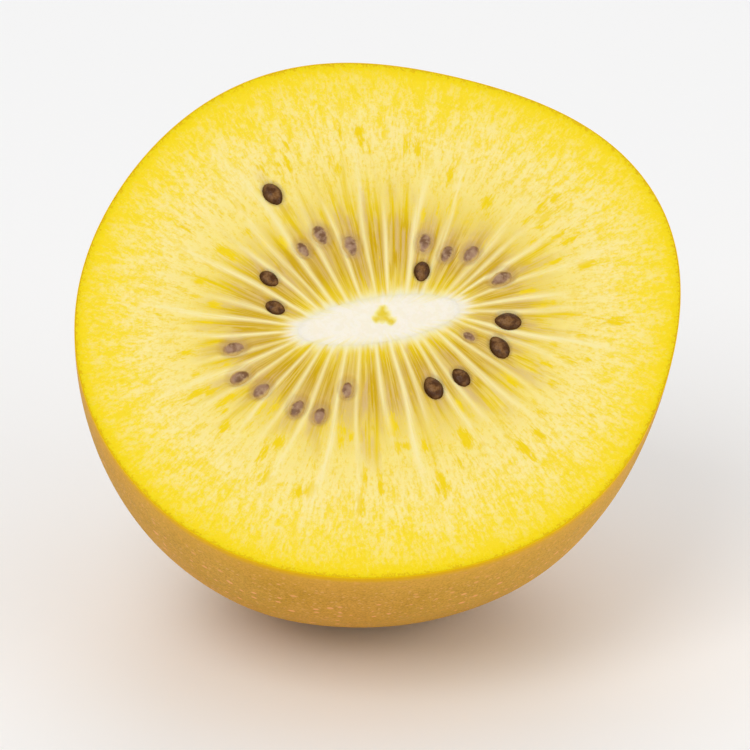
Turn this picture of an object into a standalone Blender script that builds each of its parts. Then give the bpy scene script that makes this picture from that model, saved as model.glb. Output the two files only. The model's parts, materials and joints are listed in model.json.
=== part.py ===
"""Half of a golden kiwi fruit, cut across its middle and lying on its side: a standalone Blender script.

Run it with: blender --background --python part.py
Units are metres and +Z is up. The half rests on the plane z = 0, and its box is centred on the Z axis.

The pieces are the skin, the flesh that fills it, the pale core down the middle of the flesh, and the
seeds that the knife laid bare around the core. They are all drawn in the fruit's own frame, which
an empty then tilts and lifts into place: +Z there is the fruit's axis, out of the cut face at
z = 0, and +X runs along the core, the long way across it.
"""

import math

import bmesh
import bpy
from mathutils import Matrix, Vector

MM = 0.001

# The fruit: its section at the cut, its length, and how blunt its side is (2 would be an ellipse).
HALF_WIDTH = 27.0 * MM
HALF_HEIGHT = 25.3 * MM
HALF_LENGTH = 35.0 * MM
BLUNTNESS = 2.2
SECTION_TURN = math.radians(9)  # from the core's long way across to the section's
# Slight corners of the section: how many, how proud as a share of the radius, and where the first is.
SECTION_LOBES = (
    (3, 0.0096, math.radians(-9)),
    (4, 0.0145, math.radians(11)),
    (5, 0.0080, math.radians(11.5)),
)

# The stem end: a shallow basin with the scar of the stalk standing in it.
BASIN_RADIUS = 6.0 * MM
BASIN_DEPTH = 1.4 * MM
SCAR_HEIGHT = 0.5 * MM

SKIN_THICKNESS = 0.4 * MM
GAP = 0.3 * MM  # between neighbouring solids

# The core: a long ellipse across the cut, a little off the axis, which narrows towards the stem end.
CORE_HALF_WIDTH = 7.2 * MM
CORE_HALF_HEIGHT = 2.2 * MM
CORE_LENGTH = 29.0 * MM
CORE_SHIFT = -0.5 * MM

# A seed, and where each one lies: along the core, across it, how deep its middle is under the cut
# face, in millimetres, and its size as a share of a full seed.
SEED_LENGTH = 2.35 * MM
SEED_WIDTH = 1.65 * MM
SEED_THICKNESS = 1.1 * MM
SEEDS = (
    (-8.7, 5.2, 0.40, 0.90),
    (-8.7, 2.3, 0.40, 0.85),
    (-13.0, -0.9, 0.65, 0.95),
    (-13.0, -3.7, 0.70, 0.90),
    (-11.4, -5.3, 0.60, 0.90),
    (-8.6, -7.5, 0.70, 0.90),
    (-6.8, -8.5, 0.70, 0.85),
    (-4.0, -6.5, 0.70, 0.80),
    (3.4, -7.7, 0.40, 1.10),
    (6.0, -7.1, 0.40, 0.95),
    (9.9, -4.8, 0.40, 1.10),
    (11.2, -2.5, 0.40, 1.10),
    (11.5, 1.8, 0.70, 0.95),
    (4.7, 3.6, 0.40, 0.95),
    (5.5, 6.4, 0.55, 0.95),
    (7.2, 5.0, 0.60, 0.85),
    (9.3, 4.6, 0.60, 0.95),
    (-1.0, 7.2, 0.55, 1.00),
    (-3.4, 8.7, 0.55, 1.00),
    (-5.2, 7.6, 0.65, 0.80),
    (-6.8, 13.4, 0.40, 1.10),
    (7.5, -3.3, 0.50, 0.65),
)
TWISTED_SEED = 11  # lies askew, turned this far from the way that the others point
TWIST = math.radians(-35)

# How the half lies: its axis leans this far from upright, and the core this far from level.
TILT = math.radians(40)
ROLL = math.radians(8)
FLAT_SPOT_DEPTH = 0.25 * MM  # what the weight of the fruit presses flat

# How finely the round shapes are cut.
POINTS_AROUND = 60
RING_STEP = math.radians(6)
LAST_SIDE_RING = math.radians(66)
END_SHARES = (0.35, 0.29, 0.23, 0.17, 0.12, 0.08)  # radii of the rings near the stem end
CORE_POINTS_AROUND = 32
CORE_DEPTHS = (0.0, 0.2, 0.4, 0.6, 0.75, 0.88, 0.96)  # of its rings, as shares of its length


def clear_scene():
    for existing in list(bpy.data.objects):
        bpy.data.objects.remove(existing)


def add_material(name, colour, roughness):
    material = bpy.data.materials.new(name)
    material.use_nodes = True
    shader = material.node_tree.nodes["Principled BSDF"]
    shader.inputs["Base Color"].default_value = (*colour, 1.0)
    shader.inputs["Roughness"].default_value = roughness
    shader.inputs["Metallic"].default_value = 0.0
    return material


def add_object(name, mesh, material, fruit):
    made = bpy.data.objects.new(name, mesh)
    mesh.materials.clear()
    mesh.materials.append(material)
    bpy.context.scene.collection.objects.link(made)
    made.parent = fruit
    return made


def loft(name, rings):
    """A closed mesh through rings of equally many points, with a flat cap on the first and the last."""
    shape = bmesh.new()
    loops = [[shape.verts.new(point) for point in ring] for ring in rings]
    for lower, upper in zip(loops, loops[1:]):
        for a, b, c, d in zip(lower, lower[1:] + lower[:1], upper[1:] + upper[:1], upper):
            shape.faces.new((a, b, c, d))
    shape.faces.new(reversed(loops[0]))
    shape.faces.new(loops[-1])
    bmesh.ops.recalc_face_normals(shape, faces=shape.faces)
    return finished(shape, name)


def finished(shape, name):
    mesh = bpy.data.meshes.new(name)
    shape.to_mesh(mesh)
    shape.free()
    mesh.shade_smooth()
    mesh.set_sharp_from_angle(angle=math.radians(35))
    return mesh


# The fruit's outer form --------------------------------------------------------------------------


def section_radius(angle, inset):
    """Distance from the axis to the section's edge, less an inset. The angle starts along the core."""
    turned = angle - SECTION_TURN
    oval = 1 / math.hypot(math.cos(turned) / HALF_WIDTH, math.sin(turned) / HALF_HEIGHT)
    lobes = sum(height * math.cos(count * (turned - first)) for count, height, first in SECTION_LOBES)
    return oval * (1 + lobes) - inset


def depth_at(share, inset):
    """How far under the cut face the side is where it has this share of the section's radius."""
    plain = (HALF_LENGTH - inset) * (1 - share**2) ** (1 / BLUNTNESS)
    across = share * (HALF_WIDTH - inset) / (BASIN_RADIUS + inset)
    basin = BASIN_DEPTH * (1 - across**2) ** 2 if across < 1 else 0.0
    return plain - basin


def fruit_ring(share, depth, inset):
    angles = [2 * math.pi * i / POINTS_AROUND for i in range(POINTS_AROUND)]
    radii = [share * section_radius(angle, inset) for angle in angles]
    return [Vector((r * math.cos(a), r * math.sin(a), -depth)) for r, a in zip(radii, angles)]


def side_rings(inset):
    """Rings from the cut face down to the stem end, on the fruit's outside moved in by the inset."""
    steps = round(LAST_SIDE_RING / RING_STEP)
    shares = [math.cos(i * RING_STEP) for i in range(steps + 1)] + list(END_SHARES)
    return [fruit_ring(share, depth_at(share, inset), inset) for share in shares]


# The skin ----------------------------------------------------------------------------------------


def add_skin(fruit):
    """The peel as one shell, open at the cut. The scar of the stalk stands on its outside."""
    outside = side_rings(0.0)
    inside = side_rings(SKIN_THICKNESS)
    last = END_SHARES[-1]
    scar = fruit_ring(0.9 * last, depth_at(last, 0.0) + SCAR_HEIGHT, 0.0)
    mesh = loft("skin", inside[::-1] + outside + [scar])
    material = add_material("kiwi_skin", (0.52, 0.31, 0.09), 0.55)
    return add_object("skin", mesh, material, fruit)


def lay_down(fruit, skin):
    """Turns the fruit, lifts it so that its flat spot is on z = 0 under a centred box, and cuts the spot."""
    turn = Matrix.Rotation(TILT, 4, "X") @ Matrix.Rotation(ROLL, 4, "Z")
    points = [turn @ vertex.co for vertex in skin.data.vertices]
    lowest = min(point.z for point in points)
    middle_x = (min(point.x for point in points) + max(point.x for point in points)) / 2
    middle_y = (min(point.y for point in points) + max(point.y for point in points)) / 2
    lift = Matrix.Translation((-middle_x, -middle_y, -lowest - FLAT_SPOT_DEPTH))
    fruit.matrix_world = lift @ turn
    press_flat(skin, fruit.matrix_world.inverted())


def press_flat(skin, world_to_fruit):
    """Cuts off what would be under the floor and closes the cut with one flat face."""
    shape = bmesh.new()
    shape.from_mesh(skin.data)
    bmesh.ops.bisect_plane(
        shape,
        geom=shape.verts[:] + shape.edges[:] + shape.faces[:],
        dist=1e-7,
        plane_co=world_to_fruit @ Vector((0, 0, 0)),
        plane_no=world_to_fruit.to_3x3() @ Vector((0, 0, 1)),
        clear_inner=True,
    )
    open_edges = [edge for edge in shape.edges if edge.is_boundary]
    bmesh.ops.contextual_create(shape, geom=open_edges)
    bmesh.ops.recalc_face_normals(shape, faces=shape.faces)
    shape.to_mesh(skin.data)
    shape.free()


# The core ----------------------------------------------------------------------------------------


def core_ring(depth, narrowing, gap):
    """The ellipse of the core at a depth, grown by a gap."""
    half_width = CORE_HALF_WIDTH * narrowing + gap
    half_height = CORE_HALF_HEIGHT * narrowing + gap
    angles = [2 * math.pi * i / CORE_POINTS_AROUND for i in range(CORE_POINTS_AROUND)]
    return [
        Vector((half_width * math.cos(a), half_height * math.sin(a) + CORE_SHIFT, -depth))
        for a in angles
    ]


def core_rings(gap):
    rings = []
    for share in CORE_DEPTHS:
        narrowing = (1 - share**2.2) ** 0.6
        rings.append(core_ring(share * CORE_LENGTH, narrowing, gap))
    return rings


def add_core(fruit):
    material = add_material("kiwi_core", (0.93, 0.87, 0.66), 0.5)
    return add_object("core", loft("core", core_rings(0.0)), material, fruit)


def add_core_cutter(fruit, cutters):
    """The room that the core takes in the flesh, from above the cut face to just past its tip."""
    rings = core_rings(GAP)
    above = [point + Vector((0, 0, 3 * MM)) for point in rings[0]]
    below = [point - Vector((0, 0, GAP)) for point in rings[-1]]
    add_cutter("core_room", loft("core_room", [above] + rings[1:] + [below]), fruit, cutters)


def add_cutter(name, mesh, fruit, cutters):
    cutter = bpy.data.objects.new(name, mesh)
    cutter.parent = fruit
    cutter.display_type = "WIRE"
    cutter.hide_render = True
    cutters.objects.link(cutter)
    return cutter


# The seeds ---------------------------------------------------------------------------------------


def away_from_core(x, y):
    """The way that the flesh's rays run at a point of the cut face, out from the core."""
    left = Vector((x + CORE_HALF_WIDTH, y - CORE_SHIFT)).normalized()
    right = Vector((x - CORE_HALF_WIDTH, y - CORE_SHIFT)).normalized()
    return (left + right).normalized()


def seed_mesh(name, grow, rise):
    """A teardrop with its point towards -X, grown all round, with its upper half raised."""
    shape = bmesh.new()
    bmesh.ops.create_uvsphere(shape, u_segments=10, v_segments=7, radius=1.0)
    length, width, thickness = (
        size / 2 + grow for size in (SEED_LENGTH, SEED_WIDTH, SEED_THICKNESS)
    )
    for vertex in shape.verts:
        taper = 1 - 0.28 * max(0.0, -vertex.co.x) ** 1.5
        lifted = rise if vertex.co.z > 1e-6 else 0.0
        vertex.co.x *= length
        vertex.co.y *= width * taper
        vertex.co.z = vertex.co.z * thickness * taper + lifted
    return finished(shape, name)


def seed_place(x_mm, y_mm, depth_mm, size, twist):
    outward = away_from_core(x_mm * MM, y_mm * MM)
    turn = Matrix.Rotation(math.atan2(outward.y, outward.x) + twist, 4, "Z")
    return Matrix.Translation((x_mm * MM, y_mm * MM, -depth_mm * MM)) @ turn @ Matrix.Scale(size, 4)


def add_seeds(fruit, cutters):
    material = add_material("kiwi_seed", (0.06, 0.035, 0.02), 0.3)
    mesh = seed_mesh("seed", 0.0, 0.0)
    for number, (x_mm, y_mm, depth_mm, size) in enumerate(SEEDS, start=1):
        twist = TWIST if number == TWISTED_SEED else 0.0
        place = seed_place(x_mm, y_mm, depth_mm, size, twist)
        seed = add_object(f"seed_{number:02d}", mesh, material, fruit)
        seed.matrix_local = place
        rise = (depth_mm + 1.0) * MM / size  # so that each pocket is open at the cut face
        pocket_mesh = seed_mesh("seed_pocket", GAP / size, rise)
        pocket = add_cutter(f"seed_pocket_{number:02d}", pocket_mesh, fruit, cutters)
        pocket.matrix_local = place


# The flesh ---------------------------------------------------------------------------------------


def add_flesh(fruit, cutters):
    """Fills the skin up to the cut face, with room for the core and a pocket for each seed."""
    rings = side_rings(SKIN_THICKNESS + GAP)
    material = add_material("kiwi_flesh", (0.93, 0.76, 0.10), 0.35)
    flesh = add_object("flesh", loft("flesh", rings), material, fruit)
    hollow = flesh.modifiers.new("core_and_seed_room", "BOOLEAN")
    hollow.operation = "DIFFERENCE"
    hollow.operand_type = "COLLECTION"
    hollow.collection = cutters
    return flesh


def main():
    clear_scene()
    fruit = bpy.data.objects.new("fruit", None)
    cutters = bpy.data.collections.new("cutters")
    bpy.context.scene.collection.objects.link(fruit)
    bpy.context.scene.collection.children.link(cutters)
    skin = add_skin(fruit)
    lay_down(fruit, skin)
    add_core(fruit)
    add_core_cutter(fruit, cutters)
    add_seeds(fruit, cutters)
    add_flesh(fruit, cutters)


main()
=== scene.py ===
import json
import math

import bpy
import numpy as np
from mathutils import Matrix, Vector, noise


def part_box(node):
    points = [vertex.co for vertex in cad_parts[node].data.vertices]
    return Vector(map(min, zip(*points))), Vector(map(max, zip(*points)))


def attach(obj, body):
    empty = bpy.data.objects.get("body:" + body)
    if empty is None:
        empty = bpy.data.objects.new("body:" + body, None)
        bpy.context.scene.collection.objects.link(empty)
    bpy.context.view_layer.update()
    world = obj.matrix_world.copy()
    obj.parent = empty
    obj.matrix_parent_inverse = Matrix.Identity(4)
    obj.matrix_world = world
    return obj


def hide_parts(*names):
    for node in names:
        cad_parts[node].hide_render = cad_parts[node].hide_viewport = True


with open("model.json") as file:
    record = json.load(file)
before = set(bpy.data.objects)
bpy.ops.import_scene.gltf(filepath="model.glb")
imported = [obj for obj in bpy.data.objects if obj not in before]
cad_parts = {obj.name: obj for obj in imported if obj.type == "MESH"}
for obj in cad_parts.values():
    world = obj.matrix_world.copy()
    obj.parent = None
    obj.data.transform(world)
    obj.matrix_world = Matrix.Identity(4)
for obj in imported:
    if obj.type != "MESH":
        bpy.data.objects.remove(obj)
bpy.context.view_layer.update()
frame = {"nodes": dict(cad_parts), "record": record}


# The skin ----------------------------------------------------------------------------------------
# The peel of the half: a thin, tough tan rind with small corky pores, grown onto the flesh. The
# knife has cut it off square, so its edge is a thin line round the cut face. At its far tip is the
# stem end, a shallow basin with a few puckers where the stalk was.

MM = 0.001
FULL_TURN = 2 * math.pi

# The fruit's own frame: its origin is the middle of the cut face, +Z comes out of the face, and +X
# runs along the core, which is rolled a little from level.
ROLL = math.radians(8)
cut_face = next(m for m in frame["record"]["mounts"] if m["name"] == "cut_face")
out_of_cut = Vector(cut_face["axis"]).normalized()
level = Vector((1, 0, 0))
up_the_cut = out_of_cut.cross(level)
along_core = level * math.cos(ROLL) + up_the_cut * math.sin(ROLL)
across_core = out_of_cut.cross(along_core)
fruit_turn = Matrix((along_core, across_core, out_of_cut)).transposed().to_4x4()
fruit_frame = Matrix.Translation(cut_face["pos_m"]) @ fruit_turn

HALF_WIDTH = 27.0 * MM
HALF_HEIGHT = 25.3 * MM
HALF_LENGTH = 35.0 * MM
BLUNTNESS = 2.2
SECTION_TURN = math.radians(9)
SECTION_LOBES = (
    (3, 0.0096, math.radians(-9)),
    (4, 0.0145, math.radians(11)),
    (5, 0.0080, math.radians(11.5)),
)
BASIN_RADIUS = 6.0 * MM
BASIN_DEPTH = 1.4 * MM


def section_radius(angle):
    """The cut's outline, an oval with slight corners, as the distance from the fruit's axis."""
    turned = angle - SECTION_TURN
    oval = 1 / np.hypot(np.cos(turned) / HALF_WIDTH, np.sin(turned) / HALF_HEIGHT)
    return oval * (1 + sum(size * np.cos(n * (turned - first)) for n, size, first in SECTION_LOBES))


def side_depth(share, inset):
    """How far under the cut the side is, where it is this share of the way out from the axis."""
    plain = (HALF_LENGTH - inset) * (1 - share**2) ** (1 / BLUNTNESS)
    across = np.minimum(share * (HALF_WIDTH - inset) / (BASIN_RADIUS + inset), 1)
    return plain - BASIN_DEPTH * (1 - across**2) ** 2


def ease(value, low, high):
    """0 up to low, 1 from high on, and smooth between."""
    t = np.clip((value - low) / (high - low), 0, 1)
    return t * t * (3 - 2 * t)


def lumps(spots, size):
    """Smooth chance heights from about -1 to 1 at a list of places, with lumps of the given size."""
    return np.array([noise.noise(Vector(spot)) for spot in spots / size])


def new_sheet(name, around, rows):
    """A flat sheet to be rolled up into a round piece, with each point's angle round it and its row."""
    bpy.ops.object.select_all(action="DESELECT")
    bpy.ops.mesh.primitive_grid_add(x_subdivisions=around, y_subdivisions=rows, size=1)
    sheet = bpy.context.object
    sheet.name = name
    spots = np.empty(len(sheet.data.vertices) * 3)
    sheet.data.vertices.foreach_get("co", spots)
    across = spots.reshape(-1, 3) + 0.5
    return sheet, across[:, 0] * FULL_TURN, across[:, 1] * rows


def keep(sheet, kind="FLOAT", **values):
    """Stores a value for each point of a sheet, for its material to read."""
    for name, value in values.items():
        stored = sheet.data.attributes.new(name, kind, "POINT")
        stored.data.foreach_set("value" if kind == "FLOAT" else "vector", value.ravel())


def roll_up(sheet, x, y, z):
    """Rolls a sheet up by moving its points, and sews its side edges and its ends together."""
    sheet.data.vertices.foreach_set("co", np.stack((x, y, z), axis=1).ravel())
    bpy.ops.object.mode_set(mode="EDIT")
    bpy.ops.mesh.select_all(action="SELECT")
    bpy.ops.mesh.remove_doubles(threshold=1e-6)
    bpy.ops.mesh.normals_make_consistent(inside=False)
    bpy.ops.object.mode_set(mode="OBJECT")


def lay_in_fruit(piece, lowest=0.0):
    """Carries a piece from the fruit's own frame to where the fruit lies, pressed flat at its lowest."""
    piece.data.transform(fruit_frame)
    for vertex in piece.data.vertices:
        vertex.co.z = max(vertex.co.z, lowest)


SKIN_POINTS_AROUND = 288
SKIN_ROWS = 110
SKIN_EDGE = 0.09 * MM
SKIN_DENTS = 0.16 * MM
PUCKERS = 11
PUCKER_DEPTH = 0.010  # as a share of the half's own length

skin, around, row = new_sheet("fruit_skin", SKIN_POINTS_AROUND, SKIN_ROWS)
share = np.cos(row / SKIN_ROWS * math.pi / 2)
radius = share * section_radius(around)
depth = side_depth(share, 0)
spots = np.stack((radius * np.cos(around), radius * np.sin(around), -depth), axis=1)
dents = SKIN_DENTS * (lumps(spots, 9 * MM) + 1) / 2 * ease(depth, 1 * MM, 9 * MM)
near_stem = ease(share, 0.02, 0.10) * (1 - ease(share, 0.14, 0.34))
puckers = near_stem * (1 + np.cos(PUCKERS * around + 2 * np.sin(around))) / 2
inward = 1 - dents / HALF_LENGTH - PUCKER_DEPTH * puckers
keep(skin, under_cut=depth, stem_end=1 - ease(share, 0.10, 0.34))
roll_up(skin, spots[:, 0] * inward, spots[:, 1] * inward, spots[:, 2] * inward)
rind = skin.modifiers.new("rind", "SOLIDIFY")
rind.thickness = SKIN_EDGE
rind.offset = -1
bpy.ops.object.modifier_apply(modifier=rind.name)
bpy.ops.object.shade_smooth_by_angle(angle=math.radians(50))
lay_in_fruit(skin)


def paint(red, green, blue):
    """A colour as a painter reads it off a chart, 0 to 255, turned into the light it reflects."""
    shares = (red / 255, green / 255, blue / 255)
    return tuple(c / 12.92 if c < 0.0405 else ((c + 0.055) / 1.055) ** 2.4 for c in shares) + (1.0,)


class Bench:
    """Lays out the nodes of one material or group, each with its settings and what feeds it."""

    def __init__(self, tree):
        self.tree = tree

    def put(self, kind, settings=None, **feeds):
        node = self.tree.nodes.new("ShaderNode" + kind)
        for name, value in (settings or {}).items():
            setattr(node, name, value)
        for name, value in feeds.items():
            self.feed(node.inputs[name.replace("_", " ")], value)
        return node

    def feed(self, socket, value):
        if isinstance(value, bpy.types.NodeSocket):
            self.tree.links.new(value, socket)
        else:
            socket.default_value = value

    def math(self, operation, *values):
        node = self.put("Math", {"operation": operation})
        for socket, value in zip(node.inputs, values):
            self.feed(socket, value)
        return node.outputs[0]

    def mix(self, share, first, second):
        node = self.put("Mix", {"data_type": "RGBA"})
        for number, value in ((0, share), (6, first), (7, second)):
            self.feed(node.inputs[number], value)
        return node.outputs[2]

    def step(self, value, low, high, bottom=0.0, top=1.0):
        """Rises smoothly from bottom to top as the value goes from low to high."""
        node = self.put("MapRange", {"interpolation_type": "SMOOTHSTEP"})
        for number, setting in enumerate((value, low, high, bottom, top)):
            self.feed(node.inputs[number], setting)
        return node.outputs[0]

    def attribute(self, name, output="Fac"):
        return self.put("Attribute", {"attribute_name": name}).outputs[output]

    def blobs(self, where, scale, detail=2.0, roughness=0.5):
        node = self.put("TexNoise", None, Vector=where, Scale=scale, Detail=detail, Roughness=roughness)
        return node.outputs["Fac"]

    def stretched(self, spokes, around, outward):
        """The spokes' own space, with this many patches to a turn and this many from core to peel."""
        turns = around / FULL_TURN
        return self.put("Mapping", None, Vector=spokes, Scale=(turns, turns, outward)).outputs[0]

    def group(self, group, **feeds):
        node = self.put("Group", {"node_tree": group})
        for name, value in feeds.items():
            self.feed(node.inputs[name.replace("_", " ")], value)
        return node.outputs


def node_group(name, inputs, outputs):
    """An empty node group, its way in and its way out. Each way in is (name, kind, starting value)."""
    group = bpy.data.node_groups.new(name, "ShaderNodeTree")
    for label, kind, value in inputs:
        socket = group.interface.new_socket(label, in_out="INPUT", socket_type=f"NodeSocket{kind}")
        if value is not None:
            socket.default_value = value
    for label in outputs:
        group.interface.new_socket(label, in_out="OUTPUT", socket_type="NodeSocketFloat")
    return group, group.nodes.new("NodeGroupInput").outputs, group.nodes.new("NodeGroupOutput").inputs


def new_material(name, *pieces):
    """A material on the pieces given, with the bench that its nodes are laid out on and its shader."""
    material = bpy.data.materials.new(name)
    material.use_nodes = True
    for piece in pieces:
        piece.data.materials.clear()
        piece.data.materials.append(material)
    return Bench(material.node_tree), material.node_tree.nodes["Principled BSDF"]


# Corky pores: small round specks, each of its own size, scattered over the peel.
corky_pores, way_in, way_out = node_group(
    "corky_pores",
    [("Vector", "Vector", None), ("Per Metre", "Float", 800.0), ("Size", "Float", 0.2)],
    ["Pore"],
)
bench = Bench(corky_pores)
cells = bench.put("TexVoronoi", None, Vector=way_in["Vector"], Scale=way_in["Per Metre"])
own_size = bench.put("SeparateColor", None, Color=cells.outputs["Color"]).outputs[0]
reach = bench.math("MULTIPLY", own_size, way_in["Size"])
edge = bench.math("DIVIDE", bench.math("SUBTRACT", reach, cells.outputs["Distance"]), way_in["Size"])
bench.feed(way_out["Pore"], bench.step(edge, 0.0, 0.45))

bench, shader = new_material("kiwi_peel", skin)
where = bench.put("TexCoord").outputs["Object"]
under_cut = bench.attribute("under_cut")
patches = bench.blobs(where, 70.0, 3.0)
mottle = bench.blobs(where, 1100.0, 3.0, 0.6)
grain = bench.blobs(where, 5200.0, 2.0, 0.6)
pores = bench.group(corky_pores, Vector=where, Per_Metre=940.0, Size=0.39)["Pore"]
fine_pores = bench.group(corky_pores, Vector=where, Per_Metre=2100.0, Size=0.46)["Pore"]
below = bench.step(under_cut, 1 * MM, 10 * MM)
colour = bench.mix(bench.step(patches, 0.38, 0.62), paint(217, 162, 63), paint(204, 154, 42))
tan = bench.step(bench.blobs(where, 45.0), 0.42, 0.62, 0.0, 0.4)
colour = bench.mix(tan, colour, paint(222, 178, 82))
colour = bench.mix(bench.step(mottle, 0.42, 0.68, 0.0, 0.6), colour, paint(228, 174, 84))
colour = bench.mix(bench.step(grain, 0.40, 0.70, 0.0, 0.5), colour, paint(158, 109, 34))
colour = bench.mix(bench.math("MULTIPLY", fine_pores, 0.60), colour, paint(232, 180, 112))
plain = bench.step(below, 0.0, 1.0, 0.35, 0.95)
colour = bench.mix(bench.math("MULTIPLY", pores, plain), colour, paint(243, 178, 112))
colour = bench.mix(bench.step(under_cut, 0.3 * MM, 5 * MM, 0.5, 0.0), colour, paint(230, 172, 66))
ragged_depth = bench.math("ADD", under_cut, bench.math("MULTIPLY", mottle, 0.5 * MM))
colour = bench.mix(bench.step(ragged_depth, 0.5 * MM, 1.4 * MM, 1.0, 0.0), colour, paint(232, 178, 8))
colour = bench.mix(bench.step(under_cut, 0.0, 0.3 * MM, 0.8, 0.0), colour, paint(234, 192, 0))
brown = bench.math("MULTIPLY", bench.attribute("stem_end"), bench.step(grain, 0.3, 0.6, 0.35, 0.8))
colour = bench.mix(brown, colour, paint(132, 88, 40))
bench.feed(shader.inputs["Base Color"], colour)
bench.feed(shader.inputs["Roughness"], bench.step(mottle, 0.3, 0.7, 0.50, 0.66))
shader.inputs["Specular IOR Level"].default_value = 0.05
height = bench.math("ADD", bench.math("MULTIPLY", grain, 0.5), bench.math("MULTIPLY", pores, below))
relief = bench.put("Bump", None, Strength=0.5, Distance=0.0001, Height=height)
bench.feed(shader.inputs["Normal"], relief.outputs[0])

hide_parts("skin")
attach(skin, "root")


# The stem end ------------------------------------------------------------------------------------
# The scar that the stalk left in the basin: a low, rough disc of dry brown cork with straw-coloured
# fibres in its middle, still joined to the peel all round.

SCAR_RADIUS = 2.7 * MM
SCAR_RISE = 0.75 * MM
SCAR_SUNK = 0.2 * MM
SCAR_POINTS_AROUND = 96
SCAR_ROWS = 24

scar, around, row = new_sheet("stem_scar", SCAR_POINTS_AROUND, SCAR_ROWS)
out = np.clip(1 - row / SCAR_ROWS, 0, 1)
ragged = 1 + 0.07 * np.sin(5 * around + 1) + 0.05 * np.sin(13 * around) + 0.04 * np.sin(29 * around)
reach = SCAR_RADIUS * ragged * out
fibres = 0.5 + 0.5 * np.sin(31 * around + 3 * np.sin(4 * around))
sunken_middle = 0.45 * np.exp(-((out / 0.28) ** 2))
crown = (1 - out**4) * (0.75 + 0.25 * fibres * ease(out, 0.15, 0.5)) - sunken_middle
scar_depth = side_depth(SCAR_RADIUS * out / HALF_WIDTH, 0) - SCAR_SUNK + SCAR_RISE * crown
keep(scar, outward=out, fibre=fibres)
roll_up(scar, reach * np.cos(around), reach * np.sin(around), -scar_depth)
bpy.ops.object.mode_set(mode="EDIT")
bpy.ops.mesh.select_all(action="SELECT")
bpy.ops.mesh.region_to_loop()
bpy.ops.mesh.fill()
bpy.ops.mesh.select_all(action="SELECT")
bpy.ops.mesh.normals_make_consistent(inside=False)
bpy.ops.object.mode_set(mode="OBJECT")
bpy.ops.object.shade_smooth_by_angle(angle=math.radians(40))
lay_in_fruit(scar)

bench, shader = new_material("stem_cork", scar)
where = bench.put("TexCoord").outputs["Object"]
crumbs = bench.blobs(where, 3200.0, 3.0, 0.65)
colour = bench.mix(bench.step(crumbs, 0.40, 0.62), paint(92, 58, 26), paint(150, 104, 54))
colour = bench.mix(bench.math("MULTIPLY", bench.attribute("fibre"), 0.5), colour, paint(168, 124, 68))
middle = bench.step(bench.attribute("outward"), 0.22, 0.38, 0.85, 0.0)
colour = bench.mix(middle, colour, paint(208, 170, 104))
bench.feed(shader.inputs["Base Color"], colour)
bench.feed(shader.inputs["Roughness"], bench.step(crumbs, 0.3, 0.7, 0.75, 0.95))
shader.inputs["Specular IOR Level"].default_value = 0.2
relief = bench.put("Bump", None, Strength=0.8, Distance=0.0002, Height=crumbs)
bench.feed(shader.inputs["Normal"], relief.outputs[0])

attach(scar, "root")


# The flesh ---------------------------------------------------------------------------------------
# The juicy yellow flesh that fills the peel. Pale walls run out from the core like spokes, with
# clear gel between them that shows streaks of dark gold and sinks a little once it is cut. Beyond
# them is the fine grain of the outer flesh. The seeds lie in the gel.

CORE_HALF_WIDTH = 7.2 * MM
CORE_HALF_HEIGHT = 2.2 * MM
CORE_LENGTH = 29.0 * MM
CORE_SHIFT = -0.5 * MM
FLESH_POINTS_AROUND = 660
HOLE_ROWS = 8
FACE_ROWS = 112
SIDE_ROWS = 16
FLESH_INSET = SKIN_EDGE + 0.01 * MM
EXTRA_SIDE_INSET = 0.5 * MM
PRESSED_FLAT = 0.25 * MM
WALLS = 37
ROOM_BESIDE_SEED = 0.85 * MM
GEL_SINKS = 0.05 * MM
STREAKS_SINK = 0.02 * MM
WALLS_STAND = 0.01 * MM
PEBBLE_SIZE = 0.6 * MM
PEBBLE_HEIGHT = 0.022 * MM
RIM_SINKS = 0.07 * MM
SEED_LENGTH = 2.35 * MM
SEED_WIDTH = 1.65 * MM
SEED_THICKNESS = 1.1 * MM
TWISTED_SEED = "seed_11"
TWIST = math.radians(-35)
VEILED_BELOW = -0.47 * MM
chance = np.random.default_rng(11)


def turn_between(first, second):
    """The shorter way round from the second angle to the first."""
    return (first - second + math.pi) % FULL_TURN - math.pi


# Each seed's place in the cut, from the CAD: its middle, which way it points, and its own size.
to_fruit = fruit_frame.inverted()
seeds = []
for name in sorted(name for name in frame["nodes"] if name.startswith("seed_")):
    low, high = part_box(name)
    middle = to_fruit @ ((low + high) / 2)
    left = Vector((middle.x + CORE_HALF_WIDTH, middle.y - CORE_SHIFT)).normalized()
    right = Vector((middle.x - CORE_HALF_WIDTH, middle.y - CORE_SHIFT)).normalized()
    way = math.atan2((left + right).y, (left + right).x) + (TWIST if name == TWISTED_SEED else 0)
    seeds.append({"node": name, "middle": middle, "way": way, "veiled": middle.z < VEILED_BELOW})


def seed_size(seed):
    """A seed's share of a full seed, from how wide its CAD box is across the level."""
    low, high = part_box(seed["node"])
    turn = seed["way"] + ROLL
    full_width = math.hypot(SEED_LENGTH * math.cos(turn), SEED_WIDTH * math.sin(turn))
    return min(1.15, (high - low).x / full_width)


flesh, spoke, row = new_sheet("fruit_flesh", FLESH_POINTS_AROUND, HOLE_ROWS + FACE_ROWS + SIDE_ROWS)
in_hole = row < HOLE_ROWS
on_side = row > HOLE_ROWS + FACE_ROWS
out = np.clip((row - HOLE_ROWS) / FACE_ROWS, 0, 1)

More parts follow.
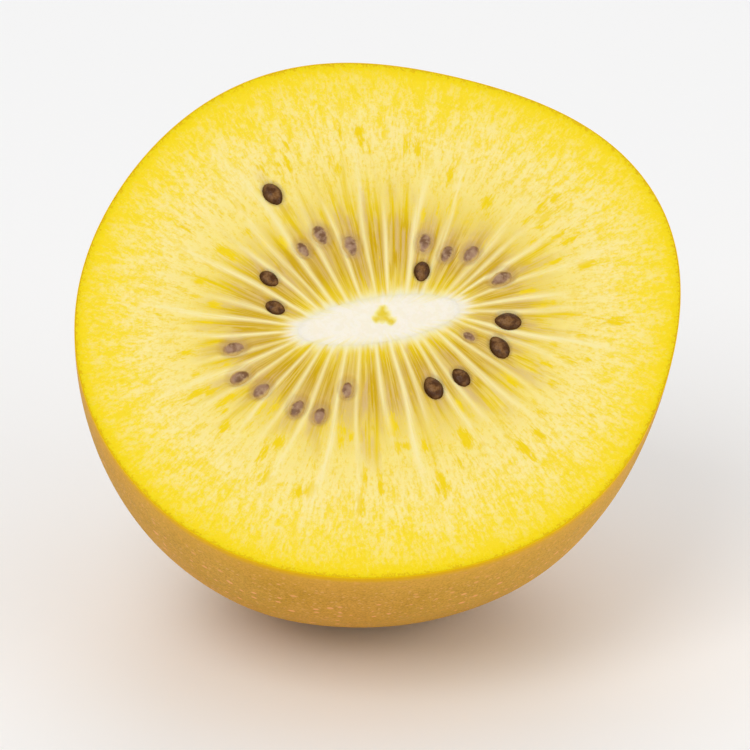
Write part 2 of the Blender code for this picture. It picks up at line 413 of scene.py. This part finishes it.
# Each spoke runs straight from the core's edge to the peel.
core_x = CORE_HALF_WIDTH * np.cos(spoke)
core_y = CORE_HALF_HEIGHT * np.sin(spoke) + CORE_SHIFT
rim_radius = section_radius(spoke) - FLESH_INSET
rim_x = rim_radius * np.cos(spoke)
rim_y = rim_radius * np.sin(spoke)
x = core_x + out * (rim_x - core_x)
y = core_y + out * (rim_y - core_y)
past_core = out * np.hypot(rim_x - core_x, rim_y - core_y)
core_scale = np.hypot(CORE_HALF_WIDTH * np.sin(spoke), CORE_HALF_HEIGHT * np.cos(spoke))
spoke_scale = core_scale + out * (rim_radius - core_scale)

# The walls stand at about even turns, each a little off, and give way to the seeds beside them.
wall_spokes = (np.arange(WALLS) + chance.uniform(-0.24, 0.24, WALLS)) / WALLS * FULL_TURN
for seed in seeds * 3:
    nearest = np.argmin(np.hypot(x - seed["middle"].x, y - seed["middle"].y) + in_hole + on_side)
    room = ROOM_BESIDE_SEED / spoke_scale[nearest]
    gap = turn_between(wall_spokes, spoke[nearest])
    wall_spokes += np.where(np.abs(gap) < room, np.sign(gap) * room - gap, 0)
wall_spokes = np.sort(wall_spokes % FULL_TURN)


def ray(centre, sway, width, start, end, taper):
    """A soft streak along a spoke, at every point of the face: 1 in its middle, 0 beside and past it."""
    drift = 0.03 * np.sin(out * 6 + sway) * ease(out, 0.0, 0.5)
    off = turn_between(spoke, centre + drift) * spoke_scale
    length = ease(out, start, start + 0.05) * (1 - ease(out, end - taper, end))
    return np.exp(-((off / width) ** 2)) * length


walls = np.zeros_like(out)
for centre in wall_spokes:
    width = chance.uniform(0.11, 0.18) * MM * (1 + 2.4 * out)
    reach = chance.uniform(0.58, 0.96)
    wall = ray(centre, chance.uniform(0, FULL_TURN), width, -0.05, reach, 0.45)
    walls = np.maximum(walls, chance.uniform(0.65, 1.0) * wall)

# Between each wall and the next: streaks of gold beside them, and a bright blob past their ends.
streaks = np.zeros_like(out)
glow = np.zeros_like(out)
gel = np.zeros_like(out)
for centre, following in zip(wall_spokes, np.roll(wall_spokes, -1)):
    opening = (following - centre) % FULL_TURN
    end = chance.uniform(0.34, 0.54)
    for place, strength in ((0.25, 1.0), (0.75, 1.0), (0.50, 0.75)):
        middle = centre + opening * (place + chance.uniform(-0.05, 0.05))
        width = chance.uniform(0.13, 0.24) * MM
        start = chance.uniform(-0.05, 0.06)
        own_end = end + chance.uniform(-0.12, 0.16)
        streak = ray(middle, chance.uniform(0, FULL_TURN), width, start, own_end, 0.16)
        streaks = np.maximum(streaks, strength * chance.uniform(0.5, 1.0) * streak)
    middle = centre + opening / 2
    off = turn_between(spoke, middle) / (opening / 2)
    gel = np.maximum(gel, (1 - ease(np.abs(off), 0.55, 1.0)) * (1 - ease(out, end - 0.20, end + 0.12)))
    for _ in range(3):
        blob_out = end + chance.uniform(-0.06, 0.24)
        blob_off = turn_between(spoke, middle + opening * chance.uniform(-0.4, 0.4)) * spoke_scale
        across = chance.uniform(0.22, 0.50) * MM
        along = chance.uniform(0.02, 0.07)
        blob = np.exp(-((blob_off / across) ** 2) - ((out - blob_out) / along) ** 2)
        glow = np.maximum(glow, chance.uniform(0.4, 1.0) * blob)
gel *= ease(out, 0.01, 0.06)

on_face = ease(out, 0.015, 0.05) * (1 - ease(out, 0.985, 1.0)) * ~in_hole * ~on_side
pebbles = lumps(np.stack((x, y, 0 * x), axis=1), PEBBLE_SIZE) * (0.4 + 0.6 * out)
relief = PEBBLE_HEIGHT * pebbles + WALLS_STAND * walls - GEL_SINKS * gel - STREAKS_SINK * streaks
relief -= RIM_SINKS * ease(out, 0.97, 1.0)
stain = np.zeros_like(out)
for seed in seeds:
    middle = seed["middle"]
    along = (x - middle.x) * math.cos(seed["way"]) + (y - middle.y) * math.sin(seed["way"])
    across = (y - middle.y) * math.cos(seed["way"]) - (x - middle.x) * math.sin(seed["way"])
    size = seed_size(seed)
    reach = np.hypot(along / (SEED_LENGTH / 2 * size), across / (SEED_WIDTH / 2 * size))
    floor_of_pocket = middle.z + (0.17 if seed["veiled"] else 0.08) * MM
    hug = 1 - ease(reach, 0.92, 1.65 if seed["veiled"] else 1.25)
    relief = relief * (1 - hug) + floor_of_pocket * hug
    near = 1 - ease(reach, 0.95, 1.55 if seed["veiled"] else 1.35)
    stain = np.maximum(stain, (0.60 if seed["veiled"] else 0.45) * near)
    in_line = 1 - ease(np.abs(across), 0.2 * MM, 0.75 * MM)
    in_line *= 1 - ease(np.abs(along), 1.2 * MM, 3.6 * MM)
    stain = np.maximum(stain, 0.28 * in_line)
z = relief * on_face

hole_share = np.clip(1 - row / HOLE_ROWS, 0, 1)
narrowing = np.where(in_hole, np.clip(1 - hole_share**2.2, 0, 1) ** 0.6, 1)
x = x * narrowing
y = CORE_SHIFT + (y - CORE_SHIFT) * narrowing
z = np.where(in_hole, -hole_share * CORE_LENGTH, z)
side_share = np.cos(np.clip((row - HOLE_ROWS - FACE_ROWS) / SIDE_ROWS, 0, 1) * math.pi / 2)
side_inset = FLESH_INSET + EXTRA_SIDE_INSET * ease(side_depth(side_share, 0), 0, 6 * MM)
side_radius = side_share * (section_radius(spoke) - side_inset)
x = np.where(on_side, side_radius * np.cos(spoke), x)
y = np.where(on_side, side_radius * np.sin(spoke), y)
z = np.where(on_side, -side_depth(side_share, side_inset), z)
keep(flesh, "FLOAT_VECTOR", spoke_space=np.stack((np.cos(spoke), np.sin(spoke), out), axis=1))
keep(flesh, wall=walls, streak=streaks, glow=glow, gel=gel, stain=stain, past_core=past_core)
roll_up(flesh, x, y, z)
bpy.ops.object.shade_smooth_by_angle(angle=math.radians(60))
lay_in_fruit(flesh, PRESSED_FLAT)

# Cut cells: the fine juicy grain that any cut through the fruit shows.
cut_cells, way_in, way_out = node_group(
    "cut_cells", [("Vector", "Vector", None), ("Per Metre", "Float", 1.0)], ["Pale", "Height"]
)
bench = Bench(cut_cells)
clumps = bench.blobs(way_in["Vector"], way_in["Per Metre"], 2.0, 0.6)
small = bench.blobs(way_in["Vector"], bench.math("MULTIPLY", way_in["Per Metre"], 2.7), 1.0)
both = bench.math("ADD", bench.math("MULTIPLY", clumps, 0.65), bench.math("MULTIPLY", small, 0.35))
bench.feed(way_out["Pale"], bench.step(both, 0.42, 0.58))
bench.feed(way_out["Height"], both)

# Core fringe: where the white of the core frays out into the flesh, further at the core's two ends.
core_fringe, way_in, way_out = node_group(
    "core_fringe", [("Spokes", "Vector", None), ("Past Core", "Float", 0.0)], ["White"]
)
bench = Bench(core_fringe)
strands = bench.blobs(bench.stretched(way_in["Spokes"], 70, 0.0), 1.0, 2.0, 0.6)
frayed = bench.step(strands, 0.34, 0.66, -0.28 * MM, 0.40 * MM)
ends = bench.math("ABSOLUTE", bench.put("SeparateXYZ", None, Vector=way_in["Spokes"]).outputs["X"])
frayed = bench.math("ADD", frayed, bench.step(ends, 0.80, 1.0, -0.10 * MM, 0.80 * MM))
past = bench.math("SUBTRACT", way_in["Past Core"], frayed)
bench.feed(way_out["White"], bench.step(past, -0.75 * MM, 0.85 * MM, 1.0, 0.0))

bench, shader = new_material("kiwi_flesh", flesh)
where = bench.put("TexCoord").outputs["Object"]
spokes = bench.attribute("spoke_space", "Vector")
out = bench.put("SeparateXYZ", None, Vector=spokes).outputs["Z"]
granules = bench.group(cut_cells, Vector=where, Per_Metre=2600.0)
dashes = bench.blobs(bench.stretched(spokes, 560, 34), 1.0, 2.0, 0.6)
clusters = bench.blobs(bench.stretched(spokes, 150, 9), 1.0, 2.0, 0.55)
hairs = bench.blobs(bench.stretched(spokes, 420, 3.2), 1.0, 1.0)
broad = bench.blobs(bench.stretched(spokes, 64, 5), 1.0, 2.0)

ramp = bench.put("ValToRGB", None, Fac=out)
band = ramp.color_ramp.elements
band[0].position, band[0].color = 0.0, paint(246, 232, 160)
band[1].position, band[1].color = 1.0, paint(240, 212, 40)
for place, colour in (
    (0.05, paint(240, 216, 112)),
    (0.13, paint(230, 202, 104)),
    (0.26, paint(222, 192, 106)),
    (0.37, paint(235, 209, 104)),
    (0.50, paint(245, 224, 130)),
    (0.68, paint(248, 229, 150)),
    (0.82, paint(248, 228, 142)),
    (0.94, paint(246, 222, 108)),
):
    band.new(place).color = colour
colour = ramp.outputs[0]

# Saturated flecks, few over the walls' ends and close together towards the peel.
fleck = bench.math("MULTIPLY", dashes, 0.38)
fleck = bench.math("ADD", fleck, bench.math("MULTIPLY", granules["Height"], 0.50))
fleck = bench.math("ADD", fleck, bench.math("MULTIPLY", clusters, 0.40))
fleck = bench.math("ADD", fleck, bench.step(out, 0.35, 1.0, -0.22, -0.09))
fleck = bench.math("ADD", fleck, bench.step(out, 0.92, 1.0, 0.0, 0.05))
fleck = bench.step(fleck, 0.39, 0.62)
fleck = bench.math("MULTIPLY", fleck, bench.step(out, 0.05, 0.45, 0.25, 0.9))
saturated = bench.mix(bench.step(out, 0.45, 0.85), paint(240, 210, 60), paint(246, 217, 14))
colour = bench.mix(fleck, colour, saturated)

# Streaks of gold and mauve in the gel, and the bright blobs past their ends.
tan = bench.math("MULTIPLY", bench.step(broad, 0.46, 0.62), bench.attribute("gel"))
colour = bench.mix(bench.math("MULTIPLY", tan, 0.65), colour, paint(212, 178, 128))
streak = bench.math("MULTIPLY", bench.attribute("streak"), bench.step(hairs, 0.30, 0.58, 0.65, 1.4))
gold = bench.mix(bench.step(out, 0.02, 0.15), paint(232, 200, 10), paint(206, 166, 0))
gold = bench.mix(bench.step(out, 0.25, 0.42), gold, paint(232, 200, 0))
colour = bench.mix(bench.math("MINIMUM", streak, 1.0), colour, gold)
ragged = bench.math("ADD", bench.math("MULTIPLY", hairs, 0.55), bench.math("MULTIPLY", clusters, 0.55))
ragged = bench.math("MULTIPLY", bench.step(ragged, 0.53, 0.66), bench.attribute("gel"))
colour = bench.mix(ragged, colour, gold)
glow = bench.math("ADD", bench.attribute("glow"), bench.math("MULTIPLY", dashes, 1.6))
colour = bench.mix(bench.step(glow, 0.90, 1.50, 0.0, 0.95), colour, paint(240, 208, 0))
stain = bench.math("MULTIPLY", bench.attribute("stain"), bench.step(hairs, 0.25, 0.6, 0.6, 1.0))
colour = bench.mix(stain, colour, paint(198, 164, 122))

wall = bench.math("MULTIPLY", bench.attribute("wall"), bench.step(hairs, 0.25, 0.55, 0.55, 1.0))
colour = bench.mix(wall, colour, paint(247, 233, 172))
white = bench.group(core_fringe, Spokes=spokes, Past_Core=bench.attribute("past_core"))["White"]
colour = bench.mix(white, colour, paint(245, 236, 212))

# Clear yellow all round under the peel, and a line of orange where the two have grown together.
rind_yellow = bench.math("ADD", out, bench.step(granules["Height"], 0.38, 0.62, -0.012, 0.018))
colour = bench.mix(bench.step(rind_yellow, 0.955, 1.0, 0.0, 0.75), colour, paint(242, 212, 0))
colour = bench.mix(bench.step(rind_yellow, 0.996, 1.010, 0.0, 0.7), colour, paint(226, 178, 12))
bench.feed(shader.inputs["Base Color"], colour)
bench.feed(shader.inputs["Roughness"], bench.step(granules["Height"], 0.3, 0.7, 0.38, 0.55))
shader.inputs["Specular IOR Level"].default_value = 0.12
shader.inputs["Subsurface Weight"].default_value = 0.2
shader.inputs["Subsurface Radius"].default_value = (1.0, 0.7, 0.2)
shader.inputs["Subsurface Scale"].default_value = 0.0008
height = bench.math("ADD", granules["Height"], bench.math("MULTIPLY", dashes, 0.8))
height = bench.math("ADD", height, bench.math("MULTIPLY", hairs, 0.4))
relief = bench.put("Bump", None, Strength=0.30, Distance=0.00012, Height=height)
bench.feed(shader.inputs["Normal"], relief.outputs[0])

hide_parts("flesh")
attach(flesh, "root")


# The core ----------------------------------------------------------------------------------------
# The pale heart of the fruit: a firm, fibrous rod, oval across and tapering to the stem end, which
# the flesh has grown round. In its middle is a small hollow of three arms, with gold in it.

CORE_POINTS_AROUND = 264
CORE_FACE_ROWS = 60
CORE_SIDE_ROWS = 12
CORE_PLAY = 0.02 * MM
CORE_PEBBLE_HEIGHT = 0.015 * MM
HOLLOW_MIDDLE = (0.43 * MM, -0.13 * MM)
HOLLOW_DEPTH = 0.16 * MM
HOLLOW_ARM_WIDTH = 0.44 * MM
HOLLOW_ARMS = ((80, 1.25), (200, 1.25), (-48, 1.5))  # each in degrees and mm

core, around, row = new_sheet("fruit_core", CORE_POINTS_AROUND, CORE_FACE_ROWS + CORE_SIDE_ROWS)
out = np.clip(row / CORE_FACE_ROWS, 0, 1)
x = CORE_HALF_WIDTH * out * np.cos(around)
y = CORE_HALF_HEIGHT * out * np.sin(around) + CORE_SHIFT
off_x, off_y = x - HOLLOW_MIDDLE[0], y - HOLLOW_MIDDLE[1]
hollow = 1 - ease(np.hypot(off_x, off_y), 0.20 * MM, 1.15 * MM)
for arm_turn, arm_length in HOLLOW_ARMS:
    arm = math.radians(arm_turn)
    along = off_x * math.cos(arm) + off_y * math.sin(arm)
    across = off_y * math.cos(arm) - off_x * math.sin(arm)
    length = ease(along, -0.1 * MM, 0.1 * MM)
    length *= 1 - ease(along, (arm_length - 0.5) * MM, arm_length * MM)
    hollow = np.maximum(hollow, length * np.exp(-((across / HOLLOW_ARM_WIDTH) ** 2)))
pebbles = lumps(np.stack((x, y, 0 * x), axis=1), PEBBLE_SIZE)
z = CORE_PEBBLE_HEIGHT * pebbles * (1 - ease(out, 0.93, 1.0)) - HOLLOW_DEPTH * hollow
down = np.clip((row - CORE_FACE_ROWS) / CORE_SIDE_ROWS, 0, 1)
narrowing = np.clip(1 - down**2.2, 0, 1) ** 0.6
on_side = row > CORE_FACE_ROWS
x = np.where(on_side, (CORE_HALF_WIDTH - CORE_PLAY) * narrowing * np.cos(around), x)
y = np.where(on_side, (CORE_HALF_HEIGHT - CORE_PLAY) * narrowing * np.sin(around) + CORE_SHIFT, y)
z = np.where(on_side, -down * (CORE_LENGTH - CORE_PLAY), z)
keep(core, "FLOAT_VECTOR", spoke_space=np.stack((np.cos(around), np.sin(around), out), axis=1))
keep(core, hollow=hollow, past_core=(out - 1) * CORE_HALF_HEIGHT)
roll_up(core, x, y, z)
bpy.ops.object.shade_smooth_by_angle(angle=math.radians(60))
lay_in_fruit(core)

bench, shader = new_material("kiwi_core", core)
where = bench.put("TexCoord").outputs["Object"]
cells = bench.group(cut_cells, Vector=where, Per_Metre=1300.0)
fringe = bench.group(
    core_fringe, Spokes=bench.attribute("spoke_space", "Vector"), Past_Core=bench.attribute("past_core")
)
colour = bench.mix(cells["Pale"], paint(244, 235, 214), paint(246, 238, 222))
colour = bench.mix(fringe["White"], paint(245, 229, 150), colour)
mark = bench.math("ADD", bench.attribute("hollow"), bench.math("MULTIPLY", cells["Height"], 0.9))
colour = bench.mix(bench.step(mark, 0.55, 1.05), colour, paint(243, 230, 150))
colour = bench.mix(bench.step(mark, 0.90, 1.55), colour, paint(230, 202, 44))
bench.feed(shader.inputs["Base Color"], colour)
bench.feed(shader.inputs["Roughness"], bench.step(cells["Height"], 0.3, 0.7, 0.42, 0.55))
shader.inputs["Specular IOR Level"].default_value = 0.25
shader.inputs["Subsurface Weight"].default_value = 0.2
shader.inputs["Subsurface Radius"].default_value = (1.0, 0.8, 0.5)
shader.inputs["Subsurface Scale"].default_value = 0.0008
relief = bench.put("Bump", None, Strength=0.35, Distance=0.0001, Height=cells["Height"])
bench.feed(shader.inputs["Normal"], relief.outputs[0])

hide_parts("core")
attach(core, "root")


# The seeds ---------------------------------------------------------------------------------------
# Small hard teardrops with a finely pitted, glossy coat, points to the core. The knife has laid
# some bare, dark as coffee. Others still lie under a film of gel, which veils them mauve and brown.

SEED_POINTS_AROUND = 36
SEED_ROWS = 22

first_seed, around, row = new_sheet("first_seed", SEED_POINTS_AROUND, SEED_ROWS)
tilt = row / SEED_ROWS * math.pi
roll_up(first_seed, np.sin(tilt) * np.cos(around), np.sin(tilt) * np.sin(around), np.cos(tilt))
ball = [vertex.co.copy() for vertex in first_seed.data.vertices]
rim_nearness = np.array([math.hypot(0.85 * spot.x, 1.15 * spot.y) for spot in ball])
for vertex in first_seed.data.vertices:
    taper = 1 - 0.28 * max(0.0, -vertex.co.x) ** 1.5
    pits = 1 + 0.02 * noise.noise(vertex.co * 7)
    vertex.co.x *= SEED_LENGTH / 2 * pits
    vertex.co.y *= SEED_WIDTH / 2 * taper * pits
    vertex.co.z *= SEED_THICKNESS / 2 * taper
keep(first_seed, seed_rim=rim_nearness)
bpy.ops.object.shade_smooth()

bare = []
veiled = []
for seed in seeds:
    piece = bpy.data.objects.new("fruit_" + seed["node"], first_seed.data.copy())
    bpy.context.scene.collection.objects.link(piece)
    place = Matrix.Translation(seed["middle"]) @ Matrix.Rotation(seed["way"], 4, "Z")
    piece.data.transform(place @ Matrix.Scale(seed_size(seed), 4))
    lay_in_fruit(piece)
    (veiled if seed["veiled"] else bare).append(piece)
    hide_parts(seed["node"])
    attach(piece, "root")
bpy.data.objects.remove(first_seed)

bench, shader = new_material("bare_seed", *bare)
where = bench.put("TexCoord").outputs["Object"]
pits = bench.put("TexVoronoi", None, Vector=where, Scale=6500.0).outputs["Distance"]
mottle = bench.blobs(where, 1500.0, 2.0)
colour = bench.mix(bench.step(mottle, 0.40, 0.62), paint(78, 42, 0), paint(116, 74, 22))
# Pale grey-mauve mottle over the pits: partly the coat's own lighter film, partly painted sheen in place
# of the glossy coat's highlight.
pale_mottle_and_sheen = bench.math("MULTIPLY", bench.step(pits, 0.3, 0.7), bench.step(mottle, 0.35, 0.6, 0.0, 0.4))
colour = bench.mix(pale_mottle_and_sheen, colour, paint(146, 110, 72))
# Darker towards each seed's outline, where it curves down into the flesh: painted shade.
colour = bench.mix(bench.step(bench.attribute("seed_rim"), 0.5, 1.0, 0.0, 0.7), colour, paint(58, 30, 4))
bench.feed(shader.inputs["Base Color"], colour)
bench.feed(shader.inputs["Roughness"], bench.step(mottle, 0.3, 0.7, 0.26, 0.44))
shader.inputs["Specular IOR Level"].default_value = 0.25
relief = bench.put("Bump", None, Strength=0.5, Distance=0.00005, Height=pits)
bench.feed(shader.inputs["Normal"], relief.outputs[0])

bench, shader = new_material("veiled_seed", *veiled)
where = bench.put("TexCoord").outputs["Object"]
film = bench.blobs(where, 2200.0, 2.0, 0.6)
mottle = bench.blobs(where, 900.0, 2.0)
colour = bench.mix(bench.step(mottle, 0.40, 0.60), paint(118, 82, 52), paint(160, 124, 98))
colour = bench.mix(bench.step(film, 0.45, 0.65, 0.0, 0.6), colour, paint(180, 148, 116))
veil = bench.math("ADD", bench.attribute("seed_rim"), bench.math("MULTIPLY", film, 0.4))
colour = bench.mix(bench.step(veil, 0.74, 1.20, 0.0, 1.0), colour, paint(212, 180, 108))
bench.feed(shader.inputs["Base Color"], colour)
bench.feed(shader.inputs["Roughness"], bench.step(film, 0.3, 0.7, 0.35, 0.50))
shader.inputs["Specular IOR Level"].default_value = 0.3
relief = bench.put("Bump", None, Strength=0.4, Distance=0.00005, Height=film)
bench.feed(shader.inputs["Normal"], relief.outputs[0])


# The floor, the light and the camera -------------------------------------------------------------
# A plain white table under soft studio light, with the camera a little above the fruit and far off.

bpy.ops.object.select_all(action="DESELECT")
bpy.ops.mesh.primitive_plane_add(size=6.0)
table = bpy.context.object
table.name = "studio_floor"
bench, shader = new_material("white_floor", table)
shader.inputs["Base Color"].default_value = (0.95, 0.95, 0.95, 1)
shader.inputs["Roughness"].default_value = 0.7

MIDDLE_OF_FRUIT = Vector((0, 0, 0.022))
for name, place, size, power in (
    ("key", Vector((-0.35, -0.55, 0.75)), 0.5, 2.9),
    ("fill", Vector((0.70, -0.50, 0.35)), 0.6, 1.4),
    ("back", Vector((0.10, 0.80, 0.60)), 0.6, 1.4),
):
    lamp = bpy.data.lights.new(name, "AREA")
    lamp.size = size
    lamp.energy = power
    light = bpy.data.objects.new(name, lamp)
    bpy.context.scene.collection.objects.link(light)
    light.location = place
    light.rotation_euler = (MIDDLE_OF_FRUIT - place).to_track_quat("-Z", "Y").to_euler()

scene = bpy.context.scene
scene.view_settings.view_transform = "Standard"
world = bpy.data.worlds.new("studio")
world.use_nodes = True
world.node_tree.nodes["Background"].inputs["Color"].default_value = (1, 1, 1, 1)
world.node_tree.nodes["Background"].inputs["Strength"].default_value = 0.65
scene.world = world

CAMERA_TURN = math.radians(-4.2)
CAMERA_RISE = math.radians(24)
CAMERA_DISTANCE = 0.486
CAMERA_AIM = Vector((0, 0, 0.0232))
camera_turn = Matrix.Rotation(CAMERA_TURN, 3, "Z") @ Matrix.Rotation(-CAMERA_RISE, 3, "X")
towards_camera = camera_turn @ Vector((0, -1, 0))
camera = bpy.data.objects.new("camera", bpy.data.cameras.new("camera"))
scene.collection.objects.link(camera)
camera.location = CAMERA_AIM + towards_camera * CAMERA_DISTANCE
camera.rotation_euler = (-towards_camera).to_track_quat("-Z", "Y").to_euler()
camera.data.lens = 261
camera.data.sensor_width = 36
camera.data.clip_start = 0.01
scene.camera = camera
